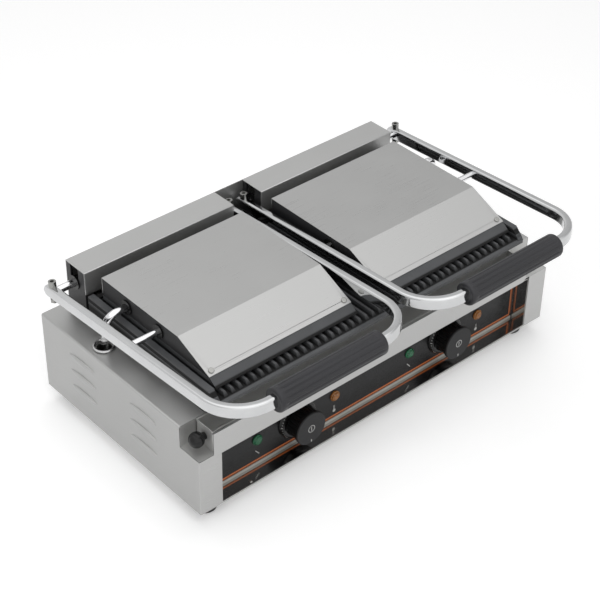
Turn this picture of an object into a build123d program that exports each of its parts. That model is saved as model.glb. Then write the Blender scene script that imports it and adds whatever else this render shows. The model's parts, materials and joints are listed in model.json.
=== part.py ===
from build123d import *
import math
import os

# Double contact grill. Millimetres, +X right, +Y back, +Z up.
# The functions below work with y = 0 at the front face of the body and z = 0 at the bottom edge of the sheet body.
# save() moves every piece to the row frame, whose origin is the bottom centre of the bounding box.

# Body
BODY_W = 570.0
BODY_D = 304.0
BODY_H = 110.0
SHEET = 1.2
FOOT_H = 22.0
FOOT_INSET = 27.0
FOOT_Y = 28.0
NOTCH_D = 34.8
NOTCH_DROP = 30.0
BAR_DROP = 3.0
POST_W = 32.0
SILL_H = 2.5
LEFT_NOTCH_W = 21.0
RIGHT_NOTCH_W = 39.5
RECESS_D = 22.0
LINER = 0.8
FILM = 0.4
SEAT_GAP = 0.3
FLANGE = 16.0

# Louvres
LOUVRE_L = 50.0
LOUVRE_H = 9.0
LOUVRE_OUT = 2.5
LOUVRE_TOP = 27.0
LOUVRE_STEP = 24.0
LOUVRE_FRONT = 104.0
LOUVRE_BACK = 81.5

# Back and underside
GLAND_INSET = 60.0
GLAND_OUT = 9.0
GLAND_Z = 30.0
VENT_STEP = 45.0
VENT_INSET = 85.0
DECK_HOLE_INSET = 105.0
DECK_HOLE_Y = 150.0
REAR_SCREW_INSET = 15.0

# Controls
DIAL_X = 123.0
DIAL_DROP = 39.0
LAMP_DX = 60.5
LAMP_R = 6.0
KNOB_R = 20.5
KNOB_CAP_R = 22.5
KNOB_FRONT = -5.0
BEZEL_R = 28.0
SPINDLE_R = 3.0

# Lower plate
PLATE_INSET = 36.0
PLATE_FRONT = 13.0
PLATE_LIFT = 18.0
PLATE_T = 6.0
RIM_W = 8.0
RIM_RISE = 13.0
RIB_PITCH = 10.7
RIB_BASE = 6.0
RIB_TIP = 3.0
RIB_H = 5.5
RIB_TRIM = 0.7
PLATE_GAP = 0.8
HEATER_FRONT = 38.0

# Lids
LID_EDGE = 11.8
LID_IN = 23.8
LID_CLEAR = 13.5
LID_FOLD = 95.2
NOSE_BACK = 26.3
NOSE_RISE = 1.5
NOSE_LIP = 10.9
LID_RISE = 24.2
COVER_T = 1.0
CAST_H = 5.9
FRAME_T = 1.5

# Rear housing
HOUSING_INSET = 36.0
HOUSING_D = 38.8
HOUSING_BACK_GAP = 6.9
HOUSING_PLATE_GAP = 4.3
HOUSING_OVER = 0.8
HOUSING_FACE = 31.5
CENTRE_GAP = 22.7
BRACKET_T = 3.0

# Handles
SHAFT_INSET = 17.1
SHAFT_DROP = 24.0
SHAFT_R = 5.0
RUN = 0.06
ARM_INSET = 5.2
ARM_IN = 12.2
BAR_W = 10.0
BAR_T = 16.0
BEND_R = 50.0
GRIP_Y = -55.2
GRIP_RISE = 19.5
GRIP_R = 15.0
GRIP_L = 156.0
PIN_INSET = 109.0
PIN_R = 4.0
ARM_TAIL = 13.0
SPRING_OFF = 4.0
SPRING_L = 15.0
COLLAR_OFF = 16.0
COLLAR_L = 10.0

# Conduits
LEG_INSET = 20.0
LEG_BACK = 37.5
LEG_LEAN = 11.0
ENTRY_DROP = 15.7
LEG_L = 150.0
TUBE_R = 5.0
TUBE_BORE = 3.9
RING_R = 14.5
RING_HOLE = 9.3

# Tray
TRAY_LEFT = 23.0
TRAY_RIGHT = 42.0
TRAY_T = 1.0
TRAY_SIDE = 3.0
TRAY_BACK = 1.6
BALL_R = 9.5
BALL_INSET = 11.5
BALL_RISE = 15.5

# Places that follow from the sizes above
HX = BODY_W / 2
NOTCH_Z = BODY_H - NOTCH_DROP
BAR_Z = NOTCH_Z - BAR_DROP
BAR_RIGHT_X = HX - RIGHT_NOTCH_W
DIAL_Z = NOTCH_Z - DIAL_DROP
GLAND_X = HX - GLAND_INSET
PLATE_X = HX - PLATE_INSET
PLATE_Z = BODY_H + PLATE_LIFT
RIB_ROOT = PLATE_Z + PLATE_T
RIB_TOP = RIB_ROOT + RIB_H
RIM_TOP = RIB_ROOT + RIM_RISE
UPPER_TIP = RIB_TOP + PLATE_GAP
UPPER_ROOT = UPPER_TIP + RIB_H - RIB_TRIM
CAST_TOP = UPPER_ROOT + CAST_H
LID_NOSE_Z = CAST_TOP + NOSE_RISE
LID_TOP = LID_NOSE_Z + LID_RISE
HOUSING_X = HX - HOUSING_INSET
HOUSING_BACK = BODY_D - HOUSING_BACK_GAP
HOUSING_FRONT = HOUSING_BACK - HOUSING_D
HOUSING_TOP = LID_TOP + HOUSING_OVER
HOUSING_SKIRT = HOUSING_TOP - HOUSING_FACE
PLATE_BACK = HOUSING_FRONT - HOUSING_PLATE_GAP
LID_BACK = PLATE_BACK - LID_CLEAR
LID_NOSE = PLATE_FRONT + NOSE_BACK
LID_OUT = PLATE_X - LID_EDGE
LID_X = (LID_OUT + LID_IN) / 2
LID_HALF = (LID_OUT - LID_IN) / 2
LOWER_RIBS = 2 * math.floor((PLATE_X - RIM_W - RIB_BASE / 2) / RIB_PITCH + 0.5)
UPPER_RIBS = math.floor(2 * (LID_HALF - 0.4 - RIB_BASE / 2) / RIB_PITCH + 1)
SHAFT_Y = HOUSING_BACK - SHAFT_INSET
SHAFT_Z = HOUSING_TOP - SHAFT_DROP
GRIP_Z = SHAFT_Z + GRIP_RISE
ARM_OUT = HX - ARM_INSET
ARM_MID = (ARM_OUT + ARM_IN) / 2
ARM_RUN = SHAFT_Y - GRIP_Y
ARM_RISE = GRIP_Z - SHAFT_Z
ARM_L = math.hypot(ARM_RUN, ARM_RISE)
ARM_TILT = -math.degrees(math.atan2(ARM_RISE, ARM_RUN))
PIN_Y = LID_BACK - PIN_INSET
PIN_Z = SHAFT_Z + (SHAFT_Y - PIN_Y) * ARM_RISE / ARM_RUN
LEG_X = HX - LEG_INSET
LEG_HOLE_Y = LID_BACK - LEG_BACK
ENTRY_Y = LEG_HOLE_Y - LEG_LEAN
ENTRY_Z = LID_TOP - ENTRY_DROP
TRAY_X0 = -HX + TRAY_LEFT
TRAY_X1 = HX - TRAY_RIGHT
BALL_X = -HX + BALL_INSET
BALL_Z = NOTCH_Z + BALL_RISE
Y_MIN = GRIP_Y - GRIP_R
Y_MAX = BODY_D + GLAND_OUT
Y_MID = (Y_MIN + Y_MAX) / 2

os.makedirs("parts", exist_ok=True)


# Basic solids

def block(x0, x1, y0, y1, z0, z1):
    return Pos((x0 + x1) / 2, (y0 + y1) / 2, (z0 + z1) / 2) * Box(abs(x1 - x0), abs(y1 - y0), abs(z1 - z0))


def rod_x(x0, x1, y, z, r):
    return Pos((x0 + x1) / 2, y, z) * Rot(0, 90, 0) * Cylinder(r, abs(x1 - x0))


def rod_y(y0, y1, x, z, r):
    return Pos(x, (y0 + y1) / 2, z) * Rot(90, 0, 0) * Cylinder(r, abs(y1 - y0))


def rod_z(z0, z1, x, y, r):
    return Pos(x, y, (z0 + z1) / 2) * Cylinder(r, abs(z1 - z0))


def slab_yz(points, x0, x1):
    face = Plane.YZ.offset(x0) * Polygon(*points, align=None)
    return extrude(face, amount=x1 - x0, dir=(1, 0, 0))


def slab_xz(points, y0, y1):
    face = Plane(origin=(0, y0, 0), x_dir=(1, 0, 0), z_dir=(0, -1, 0)) * Polygon(*points, align=None)
    return extrude(face, amount=y1 - y0, dir=(0, 1, 0))


def flip(shape):
    return mirror(shape, about=Plane.YZ)


def group(solids):
    return Compound(children=list(solids))


def save(name, shape):
    moved = Pos(0, -Y_MID, FOOT_H) * shape
    export_step(moved, "parts/" + name + ".step")


def turned_y(profile, x, z):
    # profile holds (radius, y) points, closed on the axis
    face = Plane.XY * Polygon(*profile, align=None)
    return Pos(x, 0, z) * revolve(face, axis=Axis.Y)


def turned_z(profile, x, y):
    face = Plane.XZ * Polygon(*profile, align=None)
    return Pos(x, y, 0) * revolve(face, axis=Axis.Z)


def rounded_bar(x0, x1, y0, y1, z0, z1, r, axis):
    solid = block(x0, x1, y0, y1, z0, z1)
    return fillet(solid.edges().filter_by(axis), r)


# Sheet body

def louvre(y, z):
    # raised hood with an open lower edge, pressed out of the side
    hood = Pos(-HX, y, z) * scale(Sphere(1), by=(LOUVRE_OUT, LOUVRE_L / 2, LOUVRE_H / 2))
    inner = Pos(-HX, y, z) * scale(Sphere(1), by=(LOUVRE_OUT - 0.9, LOUVRE_L / 2 - 1.2, LOUVRE_H / 2 - 1.1))
    return hood, inner


def body_shell():
    outer = block(-HX, HX, SHEET, BODY_D, 0, BODY_H)
    top = outer.edges().filter_by(Axis.Y).filter_by_position(Axis.Z, BODY_H - 0.01, BODY_H + 0.01)
    outer = fillet(top, 2.2)
    inner = block(-HX + SHEET, HX - SHEET, 0, BODY_D + 1, -1, BODY_H - SHEET)
    shell = outer - inner
    shell -= block(-HX - 1, HX + 1, 0, NOTCH_D, NOTCH_Z, BODY_H + 1)
    for sx in (-1, 1):
        shell += block(sx * (HX - FLANGE), sx * (HX - SHEET), SHEET, BODY_D, 0, SHEET)
        shell -= rod_z(BODY_H - 3, BODY_H + 1, sx * LEG_X, LEG_HOLE_Y, RING_HOLE)
    for k in (-1, -1 / 3, 1 / 3, 1):
        x = k * (HX - DECK_HOLE_INSET)
        shell -= rod_z(BODY_H - 3, BODY_H + 1, x, DECK_HOLE_Y, 9)
    hoods = []
    voids = []
    for y in (LOUVRE_FRONT, BODY_D - LOUVRE_BACK):
        for i in range(3):
            z = BODY_H - LOUVRE_TOP - i * LOUVRE_STEP
            hood, inner = louvre(y, z)
            hoods += [hood, flip(hood)]
            voids += [inner, flip(inner)]
            slot = block(-HX - 0.6, -HX + 2, y - LOUVRE_L / 2 + 6, y + LOUVRE_L / 2 - 6, z - 2.6, z - 0.6)
            voids += [slot, flip(slot)]
    room = block(-HX + SHEET, HX - SHEET, 0, BODY_D, SHEET, BODY_H - SHEET)
    for hood in hoods:
        shell += hood - room
    for void in voids:
        shell -= void
    return shell


def channel():
    # open gutter behind the front bar
    floor = block(-HX + SHEET, HX - SHEET, SHEET, NOTCH_D + SHEET, NOTCH_Z - SHEET, NOTCH_Z)
    back = block(-HX + SHEET, HX - SHEET, NOTCH_D, NOTCH_D + SHEET, NOTCH_Z, BODY_H - SHEET)
    return floor + back


def front_rail():
    # hemmed bar over the recess, its lower right corner rounded
    rail = block(-HX + LEFT_NOTCH_W, BAR_RIGHT_X, 0, SHEET, BAR_Z, BODY_H)
    corner = rail.edges().filter_by(Axis.Y).filter_by_position(Axis.X, BAR_RIGHT_X - 0.1, BAR_RIGHT_X + 0.1)
    rail = fillet(corner.sort_by(Axis.Z)[0], 5.0)
    hem = block(-HX + LEFT_NOTCH_W, BAR_RIGHT_X, SHEET, 3.0, BODY_H - 1.0, BODY_H)
    return rail + hem


def front_frame():
    # corner posts with their returns, and the sill between them
    sill = block(-HX + POST_W, HX - POST_W, 0, SHEET, 0, SILL_H)
    posts = []
    for sx in (-1, 1):
        post = block(sx * (HX - POST_W), sx * HX, 0, SHEET, 0, NOTCH_Z)
        post += block(sx * (HX - 2 * SHEET), sx * (HX - SHEET), SHEET, 14, 2 * SHEET + 0.1, NOTCH_Z - SHEET - 0.2)
        posts.append(post)
    posts[0] -= block(-HX + LEFT_NOTCH_W, -HX + POST_W + 1, -1, 2, BAR_Z, NOTCH_Z + 1)
    return group([sill] + posts)


def recess_liner():
    w = HX - POST_W
    outer = block(-w, w, SHEET, RECESS_D, SILL_H - LINER, BAR_Z)
    inner = block(-w + LINER, w - LINER, 0, RECESS_D + 1, SILL_H, BAR_Z - LINER)
    liner = outer - inner
    return liner


def control_panel():
    w = HX - POST_W
    y0 = RECESS_D + FILM
    panel = block(-w, w, y0, y0 + SHEET, SHEET + 0.1, NOTCH_Z - SHEET)
    for x, r in control_holes():
        panel -= rod_y(0, 60, x, DIAL_Z, r + 0.1)
    return panel


def control_holes():
    holes = []
    for sx in (-1, 1):
        holes.append((sx * DIAL_X, 4.5))
        holes.append((sx * DIAL_X - LAMP_DX, LAMP_R - 0.4))
        holes.append((sx * DIAL_X + LAMP_DX, LAMP_R - 0.4))
    return holes


def panel_film():
    w = HX - POST_W - LINER - 0.2
    film = block(-w, w, RECESS_D, RECESS_D + FILM, SILL_H + 0.2, BAR_Z - LINER - 0.2)
    for x, r in control_holes():
        film -= rod_y(0, 60, x, DIAL_Z, r + 0.1)
    return film


def lamp(x):
    body = LAMP_R - 0.4
    profile = [(0, 40), (body, 40), (body, RECESS_D), (LAMP_R + 1, RECESS_D), (LAMP_R + 1, 20.6),
               (LAMP_R, 20), (5.2, 18.6), (3.2, 17.7), (0, 17.4)]
    return turned_y(profile, x, DIAL_Z)


def bezel(x):
    profile = [(21.5, RECESS_D), (BEZEL_R, RECESS_D), (BEZEL_R, 20.5), (BEZEL_R - 2.5, 16.5),
               (BEZEL_R - 4.5, 16.0), (21.5, 16.0)]
    return turned_y(profile, x, DIAL_Z)


def knob(x):
    profile = [(0, 15.4), (KNOB_R, 15.4), (KNOB_R, 0), (KNOB_CAP_R, -0.8), (KNOB_CAP_R, -3.8),
               (KNOB_CAP_R - 1.2, KNOB_FRONT), (0, KNOB_FRONT)]
    solid = turned_y(profile, x, DIAL_Z)
    for i in range(24):
        a = math.radians(15 * i)
        gx = x + (KNOB_R + 0.9) * math.cos(a)
        gz = DIAL_Z + (KNOB_R + 0.9) * math.sin(a)
        solid -= rod_y(0.6, 16, gx, gz, 1.6)
    solid -= rod_y(4, 16, x, DIAL_Z, SPINDLE_R)
    return solid


def spindle(x):
    return rod_y(4, 27.5, x, DIAL_Z, SPINDLE_R)


def thermostat(x):
    y0 = RECESS_D + FILM + SHEET
    can = rod_y(y0 + 4, y0 + 26, x, DIAL_Z, 19)
    plate = block(x - 20, x + 20, y0, y0 + 4, DIAL_Z - 14, DIAL_Z + 14)
    neck = rod_y(y0 + 26, y0 + 32, x, DIAL_Z, 5)
    return can + plate + neck - rod_y(0, y0 + 6, x, DIAL_Z, SPINDLE_R + RUN)


def tray():
    y0 = TRAY_SIDE + SHEET
    y1 = NOTCH_D - TRAY_BACK
    z0 = NOTCH_Z + SEAT_GAP
    outer = rounded_bar(TRAY_X0, TRAY_X1, y0, y1, z0, BODY_H - 0.5, 1.6, Axis.Z)
    inner = block(TRAY_X0 + TRAY_T, TRAY_X1 - TRAY_T, y0 + TRAY_T, y1 - TRAY_T, z0 + TRAY_T, BODY_H)
    solid = outer - inner
    solid += block(TRAY_X0, TRAY_X1, y1, y1 + 1.2, BODY_H - 1.5, BODY_H - 0.5)
    solid -= rod_x(TRAY_X0 - 1, TRAY_X0 + 2, tray_y(), BALL_Z, 3.0)
    return solid


def tray_y():
    return (TRAY_SIDE + SHEET + NOTCH_D - TRAY_BACK) / 2


def tray_knob():
    ball = Pos(BALL_X, tray_y(), BALL_Z) * Sphere(BALL_R)
    neck = rod_x(BALL_X, TRAY_X0, tray_y(), BALL_Z, 4.6)
    stud = rod_x(TRAY_X0, TRAY_X0 + TRAY_T, tray_y(), BALL_Z, 2.9)
    nut = rod_x(TRAY_X0 + TRAY_T, TRAY_X0 + 4.5, tray_y(), BALL_Z, 4.6)
    return ball + neck + stud + nut


def bottom_plate():
    x1 = HX - SHEET - 0.2
    plate = block(-x1, x1, SHEET + 0.2, BODY_D - SHEET - 0.2, SHEET, 2 * SHEET)
    for k in (-1, -0.6, -0.2, 0.2, 0.6, 1):
        x = k * (HX - VENT_INSET)
        for y in (110, 150, 190, 230):
            plate -= rounded_bar(x - 22, x + 22, y - 3, y + 3, 0, 4, 2.9, Axis.Z)
    for x, y in foot_places():
        plate -= rod_z(0, 4, x, y, 3.1)
    plate -= block(-HX + 20, HX - 20, 0, RECESS_D + 4, 0, 4)
    return plate


def foot_places():
    places = []
    for sx in (-1, 1):
        for y in (FOOT_Y, BODY_D - FOOT_Y):
            places.append((sx * (HX - FOOT_INSET), y))
    return places


def foot(x, y):
    profile = [(3.2, -FOOT_H), (13.0, -FOOT_H), (14.5, -FOOT_H + 1.5), (18.0, -2.5), (18.0, 0),
               (3.2, 0)]
    solid = turned_z(profile, x, y)
    solid -= rod_z(-FOOT_H - 1, -FOOT_H + 9, x, y, 7.5)
    return solid


def foot_screws():
    screws = []
    for x, y in foot_places():
        shank = rod_z(-FOOT_H + 9, 2 * SHEET + 6, x, y, 3.0)
        head = rod_z(-FOOT_H + 5.5, -FOOT_H + 9, x, y, 5.5)
        nut = extrude(Pos(x, y, 2 * SHEET) * RegularPolygon(5.0, 6), amount=4.5)
        screws.append(shank + head + nut)
    return group(screws)


def drill_feet(shell):
    for x, y in foot_places():
        shell -= rod_z(-1, 3, x, y, 3.1)
    return shell


def rear_panel():
    x1 = HX - SHEET - 0.1
    panel = block(-x1, x1, BODY_D - SHEET, BODY_D, SHEET + 0.1, BODY_H - SHEET - 0.1)
    for row in range(3):
        for k in (-2, -1, 1, 2):
            x = k * VENT_STEP + math.copysign(GLAND_X - 3 * VENT_STEP, k)
            z = 40 + 16 * row
            panel -= rounded_bar(x - 16, x + 16, BODY_D - 3, BODY_D + 1, z - 2.5, z + 2.5, 2.4, Axis.Y)
    panel -= rod_y(BODY_D - 3, BODY_D + 1, GLAND_X, GLAND_Z, 8.1)
    for x, z in rear_screw_places():
        panel -= rod_y(BODY_D - 3, BODY_D + 1, x, z, 2.1)
    return panel


def rear_screw_places():
    places = []
    for k in (-1, -1 / 3, 1 / 3, 1):
        for z in (14, BODY_H - 12):
            places.append((k * (HX - REAR_SCREW_INSET), z))
    return places


def rear_screws():
    screws = []
    for x, z in rear_screw_places():
        head = turned_y([(0, BODY_D), (3.8, BODY_D), (3.2, BODY_D + 1.6), (1.8, BODY_D + 2.3), (0, BODY_D + 2.3)], x, z)
        screws.append(head + rod_y(BODY_D - 7, BODY_D, x, z, 2.0))
    return group(screws)


def cable_gland():
    profile = [(4.6, BODY_D - 12), (7.9, BODY_D - 12), (7.9, BODY_D), (11.5, BODY_D), (11.5, BODY_D + 3),
               (9.5, BODY_D + 4), (8.2, Y_MAX - 1.0), (7.2, Y_MAX), (4.6, Y_MAX)]
    return turned_y(profile, GLAND_X, GLAND_Z)


def terminal_block():
    y1 = BODY_D - SHEET
    solid = block(GLAND_X - 75, GLAND_X - 25, y1 - 18, y1, 18, 40)
    for i in range(4):
        x = GLAND_X - 69 + 12.5 * i
        solid -= rod_y(y1 - 19, y1 - 10, x, 29, 2.8)
    return solid


# Lower plate and its heater

def rib(x, y0, y1, z_root, z_tip, nose):
    half = RIB_BASE / 2
    tip = RIB_TIP / 2
    sign = 1 if z_tip > z_root else -1
    shape = slab_xz([(x - half, z_root - sign * 0.4), (x + half, z_root - sign * 0.4), (x + half, z_root),
                     (x + tip, z_tip), (x - tip, z_tip), (x - half, z_root)], y0, y1)
    wedge = slab_yz([(y0 - 1, z_root), (y0, z_root), (y0 + nose, z_tip + sign), (y0 - 1, z_tip + sign)],
                    x - half - 1, x + half + 1)
    return shape - wedge


def lower_rib_x(i):
    return (i - (LOWER_RIBS - 1) / 2) * RIB_PITCH


def lower_plate():
    slab = slab_yz([(PLATE_FRONT, PLATE_Z + 0.8), (PLATE_FRONT + 0.8, PLATE_Z), (PLATE_BACK, PLATE_Z),
                    (PLATE_BACK, RIB_ROOT), (PLATE_FRONT + 5, RIB_ROOT), (PLATE_FRONT, RIB_ROOT - 1)],
                   -PLATE_X, PLATE_X)
    plate = slab
    ribs = [rib(lower_rib_x(i), PLATE_FRONT + 5, PLATE_BACK - 12, RIB_ROOT, RIB_TOP, 5.0) for i in range(LOWER_RIBS)]
    y0 = PLATE_FRONT + 2
    side = slab_yz([(y0, RIB_ROOT), (y0 + 1, RIB_ROOT + 1.5), (y0 + 12, RIM_TOP), (PLATE_BACK, RIM_TOP),
                    (PLATE_BACK, PLATE_Z), (y0, PLATE_Z)], -PLATE_X, -PLATE_X + RIM_W)
    back = block(-PLATE_X, PLATE_X, PLATE_BACK - 6, PLATE_BACK, PLATE_Z, RIM_TOP - 4)
    plate = plate + [side, flip(side), back] + ribs
    corners = plate.edges().filter_by(Axis.Z).filter_by_position(Axis.Y, PLATE_FRONT - 0.1, PLATE_FRONT + 0.1)
    plate = fillet(corners, 1.9)
    return plate


def heater_box():
    x1 = PLATE_X - 0.8
    y0 = HEATER_FRONT
    y1 = PLATE_BACK - 0.5
    outer = block(-x1, x1, y0, y1, BODY_H, PLATE_Z)
    inner = block(-x1 + SHEET, x1 - SHEET, y0 + SHEET, y1 - SHEET, BODY_H - 1, PLATE_Z + 1)
    box = outer - inner
    for sy in (y0, y1 - 12):
        box += block(-x1, x1, sy, sy + 12, BODY_H, BODY_H + SHEET)
    return box


def element(sx, z, width, y0, y1):
    # sheathed heating element bent into a W
    xs = [-width, -width * 0.6, -width * 0.2, width * 0.2, width * 0.6, width]
    points = []
    for i, x in enumerate(xs):
        far, near = (y0, y1) if i % 2 else (y1, y0)
        points += [(x, far), (x, near)]
    path = Pos(sx * LID_X, 0, z) * FilletPolyline(*points, radius=9)
    start = path @ 0
    section = Plane(origin=start, z_dir=path % 0) * Circle(3.2)
    return sweep(section, path=path)


def insulation(x0, x1, y0, y1, z0, z1):
    return rounded_bar(x0, x1, y0, y1, z0, z1, 6, Axis.Z)


# Rear housing

def rear_housing():
    front = block(-HOUSING_X, HOUSING_X, HOUSING_FRONT, HOUSING_FRONT + SHEET, HOUSING_SKIRT, HOUSING_TOP)
    top = block(-HOUSING_X, HOUSING_X, HOUSING_FRONT, HOUSING_BACK, HOUSING_TOP - SHEET, HOUSING_TOP)
    back = block(-HOUSING_X, HOUSING_X, HOUSING_BACK - SHEET, HOUSING_BACK, BODY_H, HOUSING_TOP)
    shape = front + top + back
    edge = shape.edges().filter_by(Axis.X).filter_by_position(Axis.Z, HOUSING_TOP - 0.01, HOUSING_TOP + 0.01)
    shape = fillet(edge, 1.0)
    shape -= block(-CENTRE_GAP, CENTRE_GAP, HOUSING_FRONT - 1, HOUSING_BACK - SHEET, HOUSING_SKIRT - 1, HOUSING_TOP + 1)
    return shape


def shaft_slot(x0, x1, r):
    return rod_x(x0, x1, SHAFT_Y, SHAFT_Z, r) + block(x0, x1, SHAFT_Y - r, SHAFT_Y + r, SHAFT_Z, HOUSING_TOP + 1)


def bracket(x0, x1):
    # upright plate with a foot turned along the deck
    y0 = HOUSING_FRONT + SHEET + 0.1
    y1 = HOUSING_BACK - SHEET - 0.1
    plate = block(x0, x1, y0, y1, BODY_H, HOUSING_TOP - SHEET - 0.1)
    plate += block(x0, x1 + 14, y0, y1, BODY_H, BODY_H + 2)
    return plate - shaft_slot(x0 - 1, x1 + 1, 8.0)


def bush(x0, x1):
    body = rod_x(x0, x1, SHAFT_Y, SHAFT_Z, 7.9)
    flange = rod_x(x0 - 1.6, x0, SHAFT_Y, SHAFT_Z, 9.5)
    ring = body + flange
    return ring - rod_x(x0 - 5, x1 + 5, SHAFT_Y, SHAFT_Z, SHAFT_R + RUN)


def balance_spring():
    # torsion spring round the shaft, its leg down on the deck
    place = Pos(-ARM_MID - SPRING_OFF, SHAFT_Y, SHAFT_Z) * Rot(0, 90, 0)
    helix = place * Helix(pitch=3.0, height=SPRING_L, radius=9.0)
    section = Plane(origin=helix @ 0, z_dir=helix % 0) * Circle(1.1)
    coil = sweep(section, path=helix)
    foot_point = helix @ 0
    leg = rod_z(BODY_H, foot_point.Z + 0.4, foot_point.X, foot_point.Y, 1.1)
    return coil + leg


# Handle

def arm_frame(shape):
    return Pos(0, SHAFT_Y, SHAFT_Z) * Rot(ARM_TILT, 0, 0) * shape


def tail_corners():
    r = 7.0
    half = BAR_T / 2
    waste = block(-ARM_OUT - 9, -ARM_IN + 9, ARM_TAIL - r, ARM_TAIL + 1, -half - 1, half + 1)
    waste -= block(-ARM_OUT - 9, -ARM_IN + 9, ARM_TAIL - r - 1, ARM_TAIL, -half + r, half - r)
    for sz in (-1, 1):
        waste -= rod_x(-ARM_OUT - 9, -ARM_IN + 9, ARM_TAIL - r, sz * (half - r), r)
    return waste


def handle_bar():
    # one bent bar, its two tails rounded over the shaft
    path = FilletPolyline((-ARM_OUT, ARM_TAIL), (-ARM_OUT, -ARM_L), (-ARM_IN, -ARM_L), (-ARM_IN, ARM_TAIL),
                          radius=BEND_R)
    section = Plane(origin=(-ARM_OUT, ARM_TAIL, 0), x_dir=(1, 0, 0), z_dir=(0, -1, 0)) * RectangleRounded(BAR_W, BAR_T, 3)
    bar = sweep(section, path=path)
    bar = arm_frame(bar - tail_corners())
    for x in (-ARM_OUT, -ARM_IN):
        bar -= rod_x(x - 8, x + 8, SHAFT_Y, SHAFT_Z, SHAFT_R)
        bar -= rod_x(x - 8, x + 8, PIN_Y, PIN_Z, PIN_R)
        bar -= arm_frame(rod_z(-12, 12, x, 0, 2.5))
    return bar


def clamp_screws():
    screws = []
    for x in (-ARM_OUT, -ARM_IN):
        shank = rod_z(-12, BAR_T / 2 + 1, x, 0, 2.5)
        head = rod_z(BAR_T / 2, BAR_T / 2 + 7.5, x, 0, 4.8) - rod_z(BAR_T / 2 + 4, BAR_T / 2 + 8, x, 0, 2.4)
        nut = extrude(Pos(x, 0, -BAR_T / 2 - 5) * RegularPolygon(4.9, 6), amount=5)
        screws.append(arm_frame(shank + head + nut))
    return group(screws)


def handle_shaft():
    # the spring collar is fixed on the shaft beside its spring
    shaft = rod_x(-ARM_OUT - BAR_W / 2, -ARM_IN + BAR_W / 2, SHAFT_Y, SHAFT_Z, SHAFT_R)
    x0 = -ARM_MID + COLLAR_OFF
    x1 = x0 + COLLAR_L
    collar = rod_x(x0, x1, SHAFT_Y, SHAFT_Z, 11.5)
    shaft += collar - rod_z(SHAFT_Z + 6, SHAFT_Z + 13, (x0 + x1) / 2, SHAFT_Y, 2.0)
    for x in (-ARM_OUT, -ARM_IN):
        shaft -= arm_frame(rod_z(-12, 12, x, 0, 2.5))
    return shaft


def grip():
    y = -ARM_L
    cx = -(ARM_OUT + ARM_IN) / 2
    body = rod_x(cx - GRIP_L / 2, cx + GRIP_L / 2, y, 0, GRIP_R)
    body = fillet(body.edges().filter_by(GeomType.CIRCLE), 2.0)
    for i in range(20):
        a = math.radians(18 * i)
        body -= rod_x(cx - GRIP_L / 2 + 4, cx + GRIP_L / 2 - 4, y + (GRIP_R + 1.1) * math.cos(a),
                      (GRIP_R + 1.1) * math.sin(a), 1.9)
    core = rounded_bar(cx - GRIP_L, cx + GRIP_L, y - BAR_W / 2, y + BAR_W / 2, -BAR_T / 2, BAR_T / 2, 3, Axis.X)
    return arm_frame(body - core)


def pivot_pins():
    outer = rod_x(-ARM_OUT - BAR_W / 2, -LID_X - LID_HALF + 9, PIN_Y, PIN_Z, PIN_R)
    inner = rod_x(-LID_X + LID_HALF - 9, -ARM_IN + BAR_W / 2, PIN_Y, PIN_Z, PIN_R)
    return group([outer, inner])


# Lid

def lid_x0():
    return -LID_X - LID_HALF


def lid_x1():
    return -LID_X + LID_HALF


def cover():
    drop = COVER_T
    slope = math.atan2(LID_TOP - LID_NOSE_Z, LID_FOLD - LID_NOSE)
    nx = drop * math.sin(slope)
    nz = drop * math.cos(slope)
    k = drop * math.tan(slope / 2)
    skirt = LID_TOP - 22.7
    points = [(LID_BACK, skirt), (LID_BACK, LID_TOP), (LID_FOLD, LID_TOP), (LID_NOSE, LID_NOSE_Z),
              (LID_NOSE + nx, LID_NOSE_Z - nz), (LID_FOLD + k, LID_TOP - drop), (LID_BACK - drop, LID_TOP - drop),
              (LID_BACK - drop, skirt)]
    sheet = slab_yz(points, lid_x0(), lid_x1())
    rear = sheet.edges().filter_by(Axis.X).filter_by_position(Axis.Z, LID_TOP - 0.01, LID_TOP + 0.01)
    sheet = fillet(rear.sort_by(Axis.Y)[-1], 0.9)
    for x, y, z in cover_screw_places():
        sheet -= tilted_rod(x, y, z, -4, 4, 2.1)
    return sheet


def slope_point(t):
    y = LID_NOSE + t * (LID_FOLD - LID_NOSE)
    z = LID_NOSE_Z + t * (LID_TOP - LID_NOSE_Z)
    return y, z


def cover_screw_places():
    y, z = slope_point(0.1)
    return [(lid_x0() + 7, y, z), (lid_x1() - 7, y, z)]


def tilted_rod(x, y, z, h0, h1, r):
    slope = math.degrees(math.atan2(LID_TOP - LID_NOSE_Z, LID_FOLD - LID_NOSE))
    return Pos(x, y, z) * Rot(slope, 0, 0) * Pos(0, 0, (h0 + h1) / 2) * Cylinder(r, h1 - h0)


def cover_screws():
    screws = []
    for x, y, z in cover_screw_places():
        head = tilted_rod(x, y, z, 0, 1.8, 3.6)
        head = fillet(head.edges().sort_by(Axis.Z)[-1], 0.9)
        screws.append(head + tilted_rod(x, y, z, -5, 0, 2.0))
    return group(screws)


def lid_inner_top(y, drop):
    # height of the underside of the cover at y
    slope = (LID_TOP - LID_NOSE_Z) / (LID_FOLD - LID_NOSE)
    if y >= LID_FOLD:
        return LID_TOP - drop
    return LID_TOP - drop - (LID_FOLD - y) * slope


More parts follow.
